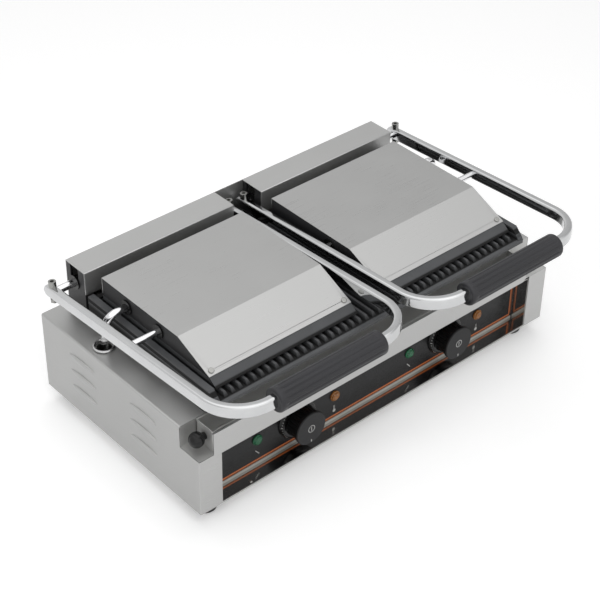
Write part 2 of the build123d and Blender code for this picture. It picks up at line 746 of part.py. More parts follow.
def lid_frame():
    drop = COVER_T + 0.15
    y0 = LID_NOSE + 3.5
    y1 = LID_BACK - COVER_T - 0.1
    top0 = lid_inner_top(y0, drop)
    profile = [(y0, CAST_TOP), (y1, CAST_TOP), (y1, LID_TOP - drop), (LID_FOLD, LID_TOP - drop), (y0, top0)]
    left = slab_yz(profile, lid_x0() + 0.5, lid_x0() + 0.5 + FRAME_T)
    right = slab_yz(profile, lid_x1() - 0.5 - FRAME_T, lid_x1() - 0.5)
    back = block(lid_x0() + 1, lid_x1() - 1, y1 - FRAME_T, y1, CAST_TOP, LID_TOP - drop)
    frame = left + right + back
    for x in (lid_x0(), lid_x1()):
        frame -= rod_x(x - 4, x + 4, PIN_Y, PIN_Z, 7.0)
    frame -= rod_x(lid_x0() - 1, lid_x0() + 4, ENTRY_Y, ENTRY_Z, 7.5)
    return frame


def pin_bush(x, s):
    body = rod_x(x + s * 1.0, x - s * 6.0, PIN_Y, PIN_Z, 6.9)
    flange = rod_x(x + s * 1.5, x - s * 0.5, PIN_Y, PIN_Z, 9.0)
    return body + flange - rod_x(x - 12, x + 12, PIN_Y, PIN_Z, PIN_R + RUN)


def conduit_bush():
    x = lid_x0()
    body = rod_x(x - 1.0, x + 6.0, ENTRY_Y, ENTRY_Z, 7.4)
    flange = rod_x(x - 1.5, x + 0.5, ENTRY_Y, ENTRY_Z, 9.5)
    return body + flange - rod_x(x - 12, x + 12, ENTRY_Y, ENTRY_Z, TUBE_R + RUN)


def upper_rib_x(i):
    return -LID_X + (i - (UPPER_RIBS - 1) / 2) * RIB_PITCH


def upper_plate():
    x0 = lid_x0() + 0.4
    x1 = lid_x1() - 0.4
    nose_z = UPPER_ROOT - 3.0
    nose_y = LID_NOSE - NOSE_LIP
    slope = (LID_TOP - LID_NOSE_Z) / (LID_FOLD - LID_NOSE)
    ledge = LID_NOSE_Z - COVER_T - 0.2
    points = [(nose_y, nose_z), (nose_y + 0.5, nose_z - 0.5), (nose_y + 4, UPPER_ROOT), (LID_BACK, UPPER_ROOT),
              (LID_BACK, CAST_TOP), (LID_NOSE + 3.2, CAST_TOP), (LID_NOSE + 3.2, ledge + 3.2 * slope),
              (LID_NOSE + 0.2, ledge), (nose_y + 0.6, nose_z + 1.5)]
    slab = slab_yz(points, x0, x1)
    ribs = [rib(upper_rib_x(i), nose_y + 3.6, LID_BACK - 4, UPPER_ROOT, UPPER_TIP, 3.0) for i in range(UPPER_RIBS)]
    plate = slab + ribs
    for x, y, z in cover_screw_places():
        plate -= tilted_rod(x, y, z, -6, 2, 2.05)
    return plate


def conduit():
    lean_y = LEG_HOLE_Y - ENTRY_Y
    lean_z = BODY_H - ENTRY_Z
    n = math.hypot(lean_y, lean_z)
    vy = lean_y / n
    vz = lean_z / n
    start_x = lid_x0() + 7.0
    reach = LEG_X + start_x
    path = FilletPolyline((0, 0), (reach, 0), (reach, -LEG_L), radius=13)
    section = Plane(origin=(0, 0, 0), x_dir=(0, 1, 0), z_dir=(1, 0, 0)) * (Circle(TUBE_R) - Circle(TUBE_BORE))
    tube = sweep(section, path=path)
    place = Plane(origin=(start_x, ENTRY_Y, ENTRY_Z), x_dir=(-1, 0, 0), z_dir=(0, -vz, vy))
    return place * tube


def deck_grommet():
    profile = [(RING_HOLE, BODY_H), (RING_R, BODY_H), (RING_R, BODY_H + 1.5), (RING_R - 1.6, BODY_H + 3.4),
               (RING_HOLE + 1.4, BODY_H + 3.6), (RING_HOLE, BODY_H + 2.4)]
    return turned_z(profile, -LEG_X, LEG_HOLE_Y)


# Export

def both(name, shape):
    save(name + "_left", shape)
    save(name + "_right", flip(shape))


def pair(name, shape):
    save(name, group([shape, flip(shape)]))


def build_body():
    save("body_shell", drill_feet(body_shell()))
    save("channel", channel())
    save("front_frame", front_frame())
    save("front_rail", front_rail())
    save("recess_liner", recess_liner())
    save("control_panel", control_panel())
    save("panel_film", panel_film())
    save("bottom_plate", bottom_plate())
    save("rear_panel", rear_panel())
    save("rear_screws", rear_screws())
    save("cable_gland", cable_gland())
    save("terminal_block", terminal_block())
    save("feet", group([foot(x, y) for x, y in foot_places()]))
    save("foot_screws", foot_screws())
    save("grease_tray", tray())
    save("tray_knob", tray_knob())


def build_controls():
    for side, sx in (("left", -1), ("right", 1)):
        save("knob_" + side, knob(sx * DIAL_X))
        save("spindle_" + side, spindle(sx * DIAL_X))
    save("bezels", group([bezel(-DIAL_X), bezel(DIAL_X)]))
    save("thermostats", group([thermostat(-DIAL_X), thermostat(DIAL_X)]))
    save("green_lamps", group([lamp(-DIAL_X - LAMP_DX), lamp(DIAL_X - LAMP_DX)]))
    save("amber_lamps", group([lamp(-DIAL_X + LAMP_DX), lamp(DIAL_X + LAMP_DX)]))


def build_lower():
    save("lower_plate", lower_plate())
    save("heater_box", heater_box())
    z = PLATE_Z - SEAT_GAP - 3.2
    width = LID_HALF - 16.7
    y0 = HEATER_FRONT + 24
    y1 = PLATE_BACK - 26
    save("lower_elements", group([element(-1, z, width, y0, y1), element(1, z, width, y0, y1)]))
    x1 = PLATE_X - 9
    save("lower_insulation", insulation(-x1, x1, y0 - 8, y1 + 10, BODY_H + SEAT_GAP, BODY_H + 9))
    save("rear_housing", rear_housing())
    end_x = -HOUSING_X + 0.2
    pair("end_brackets", bracket(end_x, end_x + BRACKET_T))
    pair("centre_brackets", bracket(-CENTRE_GAP - BRACKET_T, -CENTRE_GAP))
    bushes = [bush(end_x, end_x + 6), bush(-CENTRE_GAP - BRACKET_T, -CENTRE_GAP + 3)]
    save("shaft_bushes", group(bushes + [flip(b) for b in bushes]))
    pair("balance_springs", balance_spring())
    pair("deck_grommets", deck_grommet())


def build_lids():
    both("handle_bar", handle_bar())
    both("grip", grip())
    both("clamp_screws", clamp_screws())
    both("handle_shaft", handle_shaft())
    both("pivot_pins", pivot_pins())
    both("cover", cover())
    both("cover_screws", cover_screws())
    both("lid_frame", lid_frame())
    both("lid_bushes", group([pin_bush(lid_x0(), -1), pin_bush(lid_x1(), 1), conduit_bush()]))
    both("upper_plate", upper_plate())
    z = CAST_TOP + SEAT_GAP + 3.2
    both("upper_element", element(-1, z, LID_HALF - 22.7, LID_NOSE + 18.7, LID_BACK - 18.5))
    y0 = LID_FOLD + 6.8
    y1 = LID_BACK - 6.5
    both("upper_insulation", insulation(lid_x0() + 12, lid_x1() - 12, y0, y1, CAST_TOP + 7.2, LID_TOP - 3))
    both("conduit", conduit())


build_body()
build_controls()
build_lower()
build_lids()
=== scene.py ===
import bpy
import bmesh
import json
import math
from mathutils import Matrix, Vector

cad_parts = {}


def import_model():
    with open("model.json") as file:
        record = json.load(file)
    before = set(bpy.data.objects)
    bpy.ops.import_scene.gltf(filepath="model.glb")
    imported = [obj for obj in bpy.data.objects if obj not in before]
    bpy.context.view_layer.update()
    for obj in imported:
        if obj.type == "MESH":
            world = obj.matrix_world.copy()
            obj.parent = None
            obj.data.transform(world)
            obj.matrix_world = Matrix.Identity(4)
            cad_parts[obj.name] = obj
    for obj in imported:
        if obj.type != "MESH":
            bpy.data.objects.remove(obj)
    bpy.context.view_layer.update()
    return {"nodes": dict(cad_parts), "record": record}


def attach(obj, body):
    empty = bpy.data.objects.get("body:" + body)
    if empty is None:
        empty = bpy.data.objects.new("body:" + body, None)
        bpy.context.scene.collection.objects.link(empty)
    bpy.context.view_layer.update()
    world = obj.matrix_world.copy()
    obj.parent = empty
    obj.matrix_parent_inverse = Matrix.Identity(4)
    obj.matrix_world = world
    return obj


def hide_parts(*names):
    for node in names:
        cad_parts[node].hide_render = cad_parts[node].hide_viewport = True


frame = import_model()
nodes = frame["nodes"]

MM = 0.001
Y_MID = 121.4
FOOT_H = 22.0

SHAFT_Y, SHAFT_Z = 280.0, 153.5
GRIP_Y, GRIP_Z = -55.2, 173.0
GRIP_R, GRIP_L = 15.0, 156.0
ARM_OUT, ARM_IN, ARM_TAIL = 279.8, 12.2, 13.0
BAR_W, BAR_T, BAR_ROUND, BEND_R = 10.0, 16.0, 3.0, 50.0
ARM_L = math.hypot(SHAFT_Y - GRIP_Y, GRIP_Z - SHAFT_Z)
ARM_TILT = -math.atan2(GRIP_Z - SHAFT_Z, SHAFT_Y - GRIP_Y)
DIAL_X, DIAL_Z, FILM_Y = 123.0, 41.0, 22.0
LAMP_DX = 60.5
PLATE_FRONT, RIB_ROOT, RIB_TOP, UPPER_ROOT = 13.0, 134.0, 139.5, 145.1
LID_NOSE = 39.3
LID_SIDE = 237.2
ENTRY_Y, ENTRY_Z = 192.0, 161.0
LEG_X, LEG_HOLE_Y, LEG_L = 265.0, 203.0, 150.0
CONDUIT_R, CONDUIT_BEND = 5.0, 13.0
DECK_Z = 110.0
LINER_Z = 2.5

GRIP_FLUTES, FLUTE_DEPTH, FLUTE_SHARE = 14, 1.25, 0.26
END_COVER = 0.04
INK = 0.08


def at(x, y, z):
    """Metres of the row, from millimetres: y from the body's front face, z from its bottom edge."""
    return Vector((x * MM, (y - Y_MID) * MM, (z + FOOT_H) * MM))


ARM = Matrix.Translation(at(0, SHAFT_Y, SHAFT_Z)) @ Matrix.Rotation(ARM_TILT, 4, "X")


# Materials

def tree(name):
    m = bpy.data.materials.new(name)
    m.use_nodes = True
    t = m.node_tree
    t.nodes.clear()
    out = t.nodes.new("ShaderNodeOutputMaterial")
    bsdf = t.nodes.new("ShaderNodeBsdfPrincipled")
    t.links.new(bsdf.outputs["BSDF"], out.inputs["Surface"])
    return m, t, bsdf


def add(t, kind, **values):
    n = t.nodes.new(kind)
    for key, value in values.items():
        setattr(n, key, value)
    return n


def noise(t, scale, detail=3.0, roughness=0.55, stretch=(1, 1, 1)):
    coord = add(t, "ShaderNodeTexCoord")
    mapping = add(t, "ShaderNodeMapping")
    mapping.inputs["Scale"].default_value = stretch
    n = add(t, "ShaderNodeTexNoise")
    n.inputs["Scale"].default_value = scale
    n.inputs["Detail"].default_value = detail
    n.inputs["Roughness"].default_value = roughness
    t.links.new(coord.outputs["Object"], mapping.inputs["Vector"])
    t.links.new(mapping.outputs["Vector"], n.inputs["Vector"])
    return n.outputs["Fac"]


def remap(t, value, low, high, a=0.3, b=0.7):
    n = add(t, "ShaderNodeMapRange")
    n.inputs["From Min"].default_value = a
    n.inputs["From Max"].default_value = b
    n.inputs["To Min"].default_value = low
    n.inputs["To Max"].default_value = high
    t.links.new(value, n.inputs["Value"])
    return n.outputs["Result"]


def join(t, op, a, b):
    n = add(t, "ShaderNodeMath", operation=op)
    for i, v in enumerate((a, b)):
        if isinstance(v, (int, float)):
            n.inputs[i].default_value = v
        else:
            t.links.new(v, n.inputs[i])
    return n.outputs[0]


def tint(t, fac, dark, light):
    n = add(t, "ShaderNodeMix", data_type="RGBA")
    n.inputs["A"].default_value = (*dark, 1)
    n.inputs["B"].default_value = (*light, 1)
    t.links.new(fac, n.inputs["Factor"])
    return n.outputs["Result"]


def bump(t, bsdf, height, strength, distance):
    n = add(t, "ShaderNodeBump")
    n.inputs["Strength"].default_value = strength
    n.inputs["Distance"].default_value = distance
    t.links.new(height, n.inputs["Height"])
    t.links.new(n.outputs["Normal"], bsdf.inputs["Normal"])


def shade(value, k):
    return tuple(min(1.0, v * k) for v in value)


def brushed(name, color, rough=(0.26, 0.40), metallic=1.0):
    """Brushed sheet: the grain runs along X on faces that look up or forward and along Y on the sides."""
    m, t, bsdf = tree(name)
    across = noise(t, 1.0, 4.0, 0.6, (14, 1500, 1500))
    along = noise(t, 1.0, 4.0, 0.6, (1500, 14, 1500))
    geometry = add(t, "ShaderNodeNewGeometry")
    split = add(t, "ShaderNodeSeparateXYZ")
    t.links.new(geometry.outputs["Normal"], split.inputs["Vector"])
    side = join(t, "GREATER_THAN", join(t, "ABSOLUTE", split.outputs["X"], 0), 0.7)
    pick = add(t, "ShaderNodeMix", data_type="FLOAT")
    t.links.new(side, pick.inputs["Factor"])
    t.links.new(across, pick.inputs["A"])
    t.links.new(along, pick.inputs["B"])
    streak = pick.outputs["Result"]
    smear = noise(t, 9.0, 4.0, 0.6)
    level = join(t, "ADD", remap(t, streak, *rough), remap(t, smear, -0.03, 0.05))
    t.links.new(level, bsdf.inputs["Roughness"])
    tone = join(t, "ADD", join(t, "MULTIPLY", streak, 0.7), join(t, "MULTIPLY", smear, 0.3))
    worn = tint(t, remap(t, tone, 0, 1), shade(color, 0.965), shade(color, 1.03))
    t.links.new(worn, bsdf.inputs["Base Color"])
    bsdf.inputs["Metallic"].default_value = metallic
    bump(t, bsdf, streak, 0.10, 0.0002)
    return m


def polished(name, color, rough=(0.05, 0.12), dirt=0.9):
    m, t, bsdf = tree(name)
    smear = noise(t, 22.0, 5.0, 0.65)
    fine = noise(t, 420.0, 2.0, 0.5)
    t.links.new(remap(t, smear, *rough), bsdf.inputs["Roughness"])
    t.links.new(tint(t, remap(t, smear, 0, 1), shade(color, dirt), color), bsdf.inputs["Base Color"])
    bsdf.inputs["Metallic"].default_value = 1.0
    bump(t, bsdf, fine, 0.03, 0.0001)
    return m


def coated(name, color, rough, speck, depth, metallic=0.0, specular=0.5):
    """Paint, casting or plastic: fine surface texture, with slow changes in gloss and tone."""
    m, t, bsdf = tree(name)
    fine = noise(t, speck, 3.0, 0.6)
    slow = noise(t, 16.0, 4.0, 0.6)
    even = join(t, "ADD", join(t, "MULTIPLY", fine, 0.5), join(t, "MULTIPLY", slow, 0.5))
    t.links.new(remap(t, even, *rough), bsdf.inputs["Roughness"])
    worn = tint(t, remap(t, slow, 0, 1), shade(color, 0.88), shade(color, 1.12))
    t.links.new(worn, bsdf.inputs["Base Color"])
    bsdf.inputs["Metallic"].default_value = metallic
    bsdf.inputs["Specular IOR Level"].default_value = specular
    bump(t, bsdf, fine, depth, 0.0003)
    return m


def lens(name, color):
    """Faceted coloured lens, with painted glints (each facet lighter at its centre, darker at its edge) and a
    faint painted glow.
    """
    m, t, bsdf = tree(name)
    coord = add(t, "ShaderNodeTexCoord")
    cells = add(t, "ShaderNodeTexVoronoi")
    cells.inputs["Scale"].default_value = 520.0
    t.links.new(coord.outputs["Object"], cells.inputs["Vector"])
    # Painted glints: facet centres lighter, facet edges darker.
    facets = remap(t, cells.outputs["Distance"], 0, 1, 0.0, 0.7)
    t.links.new(tint(t, facets, shade(color, 1.25), shade(color, 0.6)), bsdf.inputs["Base Color"])
    t.links.new(remap(t, cells.outputs["Distance"], 0.08, 0.2, 0, 1), bsdf.inputs["Roughness"])
    bsdf.inputs["Transmission Weight"].default_value = 0.25
    # Painted glow: a faint emission brightens the lens.
    bsdf.inputs["Emission Color"].default_value = (*color, 1)
    bsdf.inputs["Emission Strength"].default_value = 0.06
    bump(t, bsdf, cells.outputs["Distance"], 0.5, 0.0006)
    return m


def knob_moulding():
    """Black moulding whose front face is painted a little greyer than the skirt behind it, as a painted
    sheen.
    """
    m, t, bsdf = tree("knob_plastic")
    fine = noise(t, 1500.0, 3.0, 0.6)
    slow = noise(t, 16.0, 4.0, 0.6)
    coord = add(t, "ShaderNodeTexCoord")
    split = add(t, "ShaderNodeSeparateXYZ")
    t.links.new(coord.outputs["Object"], split.inputs["Vector"])
    face = at(0, -4.6, 0).y
    front = remap(t, split.outputs["Y"], 1.0, 0.0, face - 0.0003, face + 0.0003)
    # Painted sheen: the front face is lifted from black towards grey.
    painted_front_sheen = join(t, "MULTIPLY", front, remap(t, slow, 0.8, 1.0))
    t.links.new(tint(t, painted_front_sheen, (0.0015, 0.0015, 0.0016), (0.019, 0.019, 0.020)), bsdf.inputs["Base Color"])
    t.links.new(remap(t, fine, 0.42, 0.56), bsdf.inputs["Roughness"])
    bsdf.inputs["Specular IOR Level"].default_value = 0.25
    bump(t, bsdf, fine, 0.15, 0.0003)
    return m


def casting():
    """Dark enamelled casting with painted shade: near black low in the valleys between its lower ribs and
    among the upper plate's ribs.
    """
    m, t, bsdf = tree("cast_iron")
    fine = noise(t, 900.0, 3.0, 0.6)
    slow = noise(t, 18.0, 4.0, 0.6)
    coord = add(t, "ShaderNodeTexCoord")
    split = add(t, "ShaderNodeSeparateXYZ")
    t.links.new(coord.outputs["Object"], split.inputs["Vector"])
    root = at(0, PLATE_FRONT + 4.0, RIB_ROOT)
    tip = at(0, LID_NOSE - 12.0, UPPER_ROOT)
    rise = remap(t, split.outputs["Z"], 0.0, 1.0, root.z + 0.0005, root.z + 0.0058)
    above = remap(t, split.outputs["Z"], 0.0, 1.0, tip.z - 0.0008, tip.z + 0.0004)
    front = remap(t, split.outputs["Y"], 1.0, 0.0, root.y - 0.0005, root.y + 0.001)
    # Painted shade for the dark gap between the plates: the lower rib valleys and the upper ribs go near
    # black.
    low = join(t, "MULTIPLY", join(t, "SUBTRACT", 1.0, rise), join(t, "SUBTRACT", 1.0, front))
    under = join(t, "MULTIPLY", join(t, "GREATER_THAN", split.outputs["Z"], at(0, 0, RIB_TOP + 0.4).z),
                 join(t, "SUBTRACT", 1.0, above))
    painted_gap_shade = join(t, "MINIMUM", join(t, "ADD", low, under), 1.0)
    unshaded_tone = tint(t, remap(t, slow, 0, 1), (0.062, 0.064, 0.067), (0.082, 0.084, 0.088))
    mixed = add(t, "ShaderNodeMix", data_type="RGBA")
    t.links.new(painted_gap_shade, mixed.inputs["Factor"])
    t.links.new(unshaded_tone, mixed.inputs["A"])
    mixed.inputs["B"].default_value = (0.004, 0.004, 0.004, 1)
    t.links.new(mixed.outputs["Result"], bsdf.inputs["Base Color"])
    dull = join(t, "ADD", remap(t, fine, 0.44, 0.58), join(t, "MULTIPLY", painted_gap_shade, 0.3))
    t.links.new(dull, bsdf.inputs["Roughness"])
    bsdf.inputs["Specular IOR Level"].default_value = 0.4
    bump(t, bsdf, fine, 0.3, 0.0003)
    return m


MATS = {
    "stainless": brushed("stainless", (0.47, 0.47, 0.465)),
    "polished_steel": polished("polished_steel", (0.56, 0.55, 0.535), (0.07, 0.12)),
    "chrome": polished("chrome", (0.80, 0.80, 0.81)),
    "cast_iron": casting(),
    "black_steel": coated("black_steel", (0.012, 0.012, 0.013), (0.42, 0.6), 1100.0, 0.2),
    "black_plastic": coated("black_plastic", (0.006, 0.006, 0.006), (0.16, 0.26), 1500.0, 0.08, specular=0.3),
    "grip_plastic": coated("grip_plastic", (0.022, 0.022, 0.025), (0.40, 0.55), 1600.0, 0.2, specular=0.4),
    "knob_plastic": knob_moulding(),
    "panel_film": coated("panel_film", (0.013, 0.013, 0.014), (0.22, 0.32), 2200.0, 0.05, specular=0.22),
    "green_lens": lens("green_lens", (0.0, 0.17, 0.06)),
    "amber_lens": lens("amber_lens", (0.46, 0.17, 0.02)),
    "rubber": coated("rubber", (0.016, 0.016, 0.016), (0.6, 0.8), 900.0, 0.25),
    "screw_steel": polished("screw_steel", (0.40, 0.40, 0.385), (0.2, 0.34), 0.75),
    "element_sheath": brushed("element_sheath", (0.22, 0.21, 0.20), (0.4, 0.6)),
    "spring_steel": polished("spring_steel", (0.30, 0.30, 0.31), (0.25, 0.4)),
    "insulation": coated("insulation", (0.72, 0.70, 0.64), (0.85, 0.95), 500.0, 0.6),
    "ceramic": coated("ceramic", (0.82, 0.81, 0.77), (0.15, 0.3), 900.0, 0.05),
}
PRINT_WHITE = coated("print_white", (0.62, 0.62, 0.60), (0.35, 0.5), 1500.0, 0.05)
PRINT_ORANGE = coated("print_orange", (0.62, 0.16, 0.035), (0.3, 0.45), 1500.0, 0.05)
BARE_EDGE = coated("bare_edge", (0.50, 0.495, 0.46), (0.35, 0.45), 1500.0, 0.05, metallic=0.35)
BAR_STEEL = polished("bar_steel", (0.60, 0.605, 0.61), (0.07, 0.13))
# Painted shade: a darker copy of the stainless for the body sides, which look darker than the covers.
SHADED_SHELL_STEEL = brushed("shaded_shell_steel", (0.43, 0.43, 0.425), (0.34, 0.48), metallic=0.85)
# Painted light: a lighter copy of the stainless for the channel and grease tray, lifting these shaded inner
# parts.
LIT_INNER_STEEL = brushed("lit_inner_steel", (0.52, 0.52, 0.51), (0.42, 0.56), metallic=0.72)
HOUSING_STEEL = brushed("housing_steel", (0.47, 0.47, 0.465), (0.38, 0.50), metallic=0.84)
RING_STEEL = polished("ring_steel", (0.55, 0.55, 0.55), (0.18, 0.28))


# Pieces

def piece(name, mesh, material, body, replaces=(), smooth=True):
    obj = bpy.data.objects.new(name, mesh)
    bpy.context.scene.collection.objects.link(obj)
    mesh.materials.clear()
    mesh.materials.append(material)
    if smooth:
        mesh.polygons.foreach_set("use_smooth", [True] * len(mesh.polygons))
        mesh.update()
    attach(obj, body)
    if replaces:
        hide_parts(*replaces)
    return obj


def mesh_of(name, verts, faces):
    mesh = bpy.data.meshes.new(name)
    mesh.from_pydata([tuple(v) for v in verts], [], faces)
    bm = bmesh.new()
    bm.from_mesh(mesh)
    bmesh.ops.remove_doubles(bm, verts=bm.verts, dist=1e-7)
    bmesh.ops.recalc_face_normals(bm, faces=bm.faces)
    bm.to_mesh(mesh)
    bm.free()
    return mesh


def rings(name, loops, close_ends=True):
    """Skins a list of closed loops of equal length."""
    n = len(loops[0])
    verts = [v for loop in loops for v in loop]
    faces = []
    for i in range(len(loops) - 1):
        for j in range(n):
            k = (j + 1) % n
            faces.append((i * n + j, i * n + k, (i + 1) * n + k, (i + 1) * n + j))
    if close_ends:
        faces.append(tuple(range(n))[::-1])
        faces.append(tuple((len(loops) - 1) * n + j for j in range(n)))
    return mesh_of(name, verts, faces)


def soften(obj, width, angle):
    bevel = obj.modifiers.new("edge", "BEVEL")
    bevel.width = width * MM
    bevel.segments = 2
    bevel.limit_method = "ANGLE"
    bevel.angle_limit = math.radians(angle)
    bevel.harden_normals = True


def mirrored(mesh, name):
    other = mesh.copy()
    other.name = name
    for v in other.vertices:
        v.co.x = -v.co.x
    other.flip_normals()
    return other


def both(name, build, material, body, node):
    """Builds the left piece, mirrors it for the right and lets each stand for its CAD node."""
    left = build(name + "_left_visual")
    right = mirrored(left, name + "_right_visual")
    for side, mesh in (("left", left), ("right", right)):
        piece(name + "_" + side + "_visual", mesh, material, side + "_" + body, (node + "_" + side,))


def bar_profile(half_height):
    """Rounded rectangle in the plane across the bar, as (sideways, up) pairs."""
    w = BAR_W / 2 + END_COVER
    r = min(BAR_ROUND, half_height * 0.9)
    points = []
    for cx, cz, start in ((w - r, half_height - r, 0), (-w + r, half_height - r, 90),
                          (-w + r, -half_height + r, 180), (w - r, -half_height + r, 270)):
        for i in range(7):
            a = math.radians(start + 15 * i)
            points.append((cx + r * math.cos(a), cz + r * math.sin(a)))
    return points


def bar_path():
    """Centre line of the left handle in the arm's own plane: (point, heading, half height)."""
    path = []
    r_end = 7.0
    for i in range(9):
        a = math.radians(90 * i / 8)
        path.append((Vector((-ARM_OUT, ARM_TAIL - r_end + r_end * math.cos(a))), Vector((0, -1)),
                     BAR_T / 2 - r_end + r_end * math.sin(a)))
    full = BAR_T / 2
    corner = Vector((-ARM_OUT + BEND_R, -ARM_L + BEND_R))
    for i in range(25):
        a = math.radians(180 + 90 * i / 24)
        p = corner + BEND_R * Vector((math.cos(a), math.sin(a)))
        path.append((p, Vector((-math.sin(a), math.cos(a))), full))
    corner = Vector((-ARM_IN - BEND_R, -ARM_L + BEND_R))
    for i in range(25):
        a = math.radians(270 + 90 * i / 24)
        p = corner + BEND_R * Vector((math.cos(a), math.sin(a)))
        path.append((p, Vector((-math.sin(a), math.cos(a))), full))
    for i in range(9):
        a = math.radians(90 - 90 * i / 8)
        path.append((Vector((-ARM_IN, ARM_TAIL - r_end + r_end * math.cos(a))), Vector((0, 1)),
                     BAR_T / 2 - r_end + r_end * math.sin(a)))
    return path


def handle_bar(name):
    loops = []
    for point, heading, half in bar_path():
        side = Vector((-heading.y, heading.x))
        loop = []
        for s, u in bar_profile(half):
            p = point + side * s
            loop.append(ARM @ (Vector((p.x, p.y, u)) * MM))
        loops.append(loop)
    return rings(name, loops)


def grip_radius(angle, fade):
    """Soft flutes, fading out towards the ends."""
    phase = (angle * GRIP_FLUTES / math.tau) % 1.0
    phase = min(phase, 1 - phase)
    groove = max(0.0, 1 - (phase / FLUTE_SHARE) ** 2)
    return GRIP_R - FLUTE_DEPTH * groove * fade


def grip(name):
    middle = -(ARM_OUT + ARM_IN) / 2
    half = GRIP_L / 2
    end = ((0.6, 10.2), (0.0, 11.0), (0.0, 13.0), (0.5, 14.0), (1.2, 14.6), (2.2, 15.0),
           (7.0, None), (10.0, None))
    stations = [(-half + inset, r) for inset, r in end]
    stations += [(half - inset, r) for inset, r in reversed(end)]
    loops = []
    count = 240
    for x, r in stations:
        fade = 1.0 if r is None and abs(x) < half - 8 else 0.0
        loop = []
        for i in range(count):
            a = math.tau * i / count
            radius = grip_radius(a, fade) if r is None else r
            spot = Vector((middle + x, -ARM_L + radius * math.cos(a), radius * math.sin(a)))
            loop.append(ARM @ (spot * MM))
        loops.append(loop)
    return rings(name, loops)


def tube(name, points, radius, count=28):
    """Round tube through the given centre points, its section kept square to the path."""
    loops = []
    up = Vector((0, 1, 0))
    for i, p in enumerate(points):
        a = points[max(0, i - 1)]
        b = points[min(len(points) - 1, i + 1)]
        t = (b - a).normalized()
        u = (up - t * up.dot(t)).normalized()
        v = t.cross(u)
        turns = [math.tau * j / count for j in range(count)]
        loops.append([p + (u * math.cos(a) + v * math.sin(a)) * radius * MM for a in turns])
    return rings(name, loops)




def conduit(name):
    drop = (at(0, LEG_HOLE_Y, DECK_Z) - at(0, ENTRY_Y, ENTRY_Z)).normalized()
    start = at(-LID_SIDE + 7.0, ENTRY_Y, ENTRY_Z)
    corner = at(-LEG_X, ENTRY_Y, ENTRY_Z)
    out = Vector((-1, 0, 0))
    r = CONDUIT_BEND * MM
    centre = corner - out * r + drop * r
    points = [start]
    for i in range(17):
        a = math.radians(90 * i / 16)
        points.append(centre - drop * r * math.cos(a) + out * r * math.sin(a))
    points.append(corner + drop * LEG_L * MM)
    return tube(name, points, CONDUIT_R)


def turned(name, profile, origin, axis="Y", count=64):
    """Revolves (radius, distance) pairs round an axis through origin."""
    loops = []
    for r, d in profile:
        loop = []
        for i in range(count):
            a = math.tau * i / count
            c, s = r * math.cos(a), r * math.sin(a)
            offset = {"Y": (c, d, s), "Z": (c, s, d), "X": (d, c, s)}[axis]
            loop.append(origin + Vector(offset) * MM)
        loops.append(loop)
    return rings(name, loops)


def box_mesh(name, x0, x1, y0, y1, z0, z1):
    a, b = at(x0, y0, z0), at(x1, y1, z1)
    verts = [(x, y, z) for x in (a.x, b.x) for y in (a.y, b.y) for z in (a.z, b.z)]
    faces = [(0, 1, 3, 2), (4, 6, 7, 5), (0, 4, 5, 1), (2, 3, 7, 6), (0, 2, 6, 4), (1, 5, 7, 3)]
    return mesh_of(name, verts, faces)


def merge(name, meshes):
    bm = bmesh.new()
    for mesh in meshes:
        bm.from_mesh(mesh)
    merged = bpy.data.meshes.new(name)
    bm.to_mesh(merged)
    bm.free()
    return merged


# CAD nodes keep their shape and take the worked materials

SLOT_OF = {row["node"]: row["material_slot"] for row in frame["record"]["subparts"]}
for node_name, obj in nodes.items():
    obj.data.materials.clear()
    obj.data.materials.append(MATS[SLOT_OF[node_name]])

STEELS = {
    "body_shell": SHADED_SHELL_STEEL,
    "channel": LIT_INNER_STEEL,
    "grease_tray": LIT_INNER_STEEL,
    "rear_housing": HOUSING_STEEL,
}
for node_name, material in STEELS.items():
    nodes[node_name].data.materials[0] = material

SHEETS = ("body_shell", "front_frame", "front_rail", "channel", "grease_tray", "rear_housing", "rear_panel",
          "cover_left", "cover_right", "lower_plate", "upper_plate_left", "upper_plate_right", "heater_box")
for node_name in SHEETS:
    obj = nodes[node_name]
    weld = obj.modifiers.new("weld", "WELD")
    weld.merge_threshold = 1e-6
    soften(obj, 0.35, 30.0)

both("handle_bar", handle_bar, BAR_STEEL, "handle", "handle_bar")
both("grip", grip, MATS["grip_plastic"], "handle", "grip")
both("conduit", conduit, MATS["chrome"], "conduit", "conduit")


# A slim rolled ring round each wiring hole in the deck

RING_OUT, RING_WIRE, RING_SEAT = 13.6, 1.7, 0.05


def deck_ring(name, sign):
    centre_r = RING_OUT - RING_WIRE - RING_SEAT
    height = DECK_Z + RING_WIRE + RING_SEAT
    loops = []
    for i in range(48):
        a = math.tau * i / 48
        out = Vector((math.cos(a), math.sin(a), 0))
        centre = at(sign * LEG_X, LEG_HOLE_Y, height) + out * centre_r * MM
        turns = [math.tau * j / 14 for j in range(14)]
        up = Vector((0, 0, 1))
        loops.append([centre + (out * math.cos(b) + up * math.sin(b)) * RING_WIRE * MM for b in turns])
    loops.append(loops[0])
    return rings(name, loops, close_ends=False)


rings_made = [deck_ring("deck_ring", sign) for sign in (-1, 1)]
piece("deck_rings", merge("deck_rings", rings_made), RING_STEEL, "base", ("deck_grommets",))


# The small domed screw on the recess floor

DOME = ((0.01, 1.1), (0.7, 1.05), (1.3, 0.8), (1.8, 0.4), (2.0, 0.0), (2.0, -0.2), (0.01, -0.2))
LINER_SCREW = at(-207.9, 4.2, LINER_Z)
liner_screw = turned("liner_screw", DOME, LINER_SCREW, "Z", 32)
piece("liner_screw", liner_screw, MATS["screw_steel"], "base")


# Printing on the panel, the bezels and the knobs

